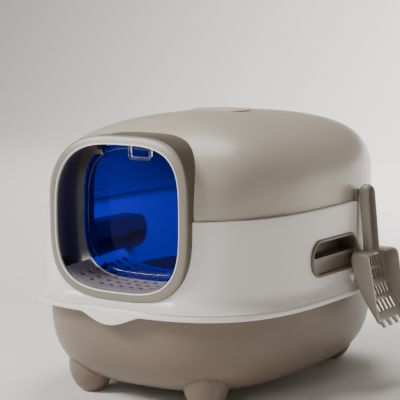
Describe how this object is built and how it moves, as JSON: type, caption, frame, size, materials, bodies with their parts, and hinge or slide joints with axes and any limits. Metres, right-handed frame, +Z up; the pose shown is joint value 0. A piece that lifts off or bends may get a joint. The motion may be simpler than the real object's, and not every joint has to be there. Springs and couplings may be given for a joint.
{
  "type": "cat litter box with hood",
  "caption": "Hooded cat litter box on feet with a lift-off cover, front gate with a translucent swing door, perforated step, filter vent, side grips and a scoop",
  "frame": {"origin": "middle of the whole footprint, scoop and tongue included, on the floor", "axes": "+Z up; the gate faces -Y; the scoop hangs on the +X side; the box's own middle plane is parallel to YZ at x = -0.02025 m"},
  "size_m": [0.4506, 0.5174, 0.3854],
  "materials": {
    "tray_plastic": "satin",
    "white_plastic": "semi-gloss",
    "dark_plastic": "satin",
    "hood_plastic": "satin",
    "step_plastic": "satin",
    "blue_door": "translucent glossy plastic",
    "clear_plastic": "clear glossy plastic",
    "steel": "brushed",
    "carbon": "felt",
    "cap_plastic": "satin",
    "scoop_plastic": "satin"
  },
  "bodies": {
    "tray": {"lower_tray": "tray_plastic", "foot_front_left": "tray_plastic", "foot_front_right": "tray_plastic", "foot_rear_left": "tray_plastic", "foot_rear_right": "tray_plastic"},
    "frame": {"mid_frame": "white_plastic", "grip_right": "dark_plastic", "grip_left": "dark_plastic", "scoop_holder": "scoop_plastic"},
    "cover": {"hood": "hood_plastic", "portal_frame": "hood_plastic", "step_plate": "step_plastic", "pivot_pin_left": "steel", "pivot_pin_right": "steel", "filter_cup": "hood_plastic", "carbon_filter": "carbon"},
    "door": {"flap_door": "blue_door", "door_hanger": "clear_plastic"},
    "cap": {"vent_cap": "cap_plastic"},
    "hung_scoop": {"scoop": "scoop_plastic"}
  },
  "joints": [
    {"name": "frame_lift", "type": "slide", "parent": "tray", "child": "frame", "axis": [0, 0, 1], "range_m": [0, 0.15]},
    {"name": "hood_lift", "type": "slide", "parent": "frame", "child": "cover", "axis": [0, 0, 1], "range_m": [0, 0.2]},
    {"name": "door_swing", "type": "hinge", "parent": "cover", "child": "door", "pos_m": [-0.02025, -0.1803, 0.3425], "axis": [1, 0, 0], "range_deg": [-45, 55]},
    {"name": "cap_lift", "type": "slide", "parent": "cover", "child": "cap", "axis": [0, 0, 1], "range_m": [0, 0.06]},
    {"name": "scoop_off", "type": "slide", "parent": "frame", "child": "hung_scoop", "axis": [1, 0, 0], "range_m": [0, 0.12]}
  ]
}
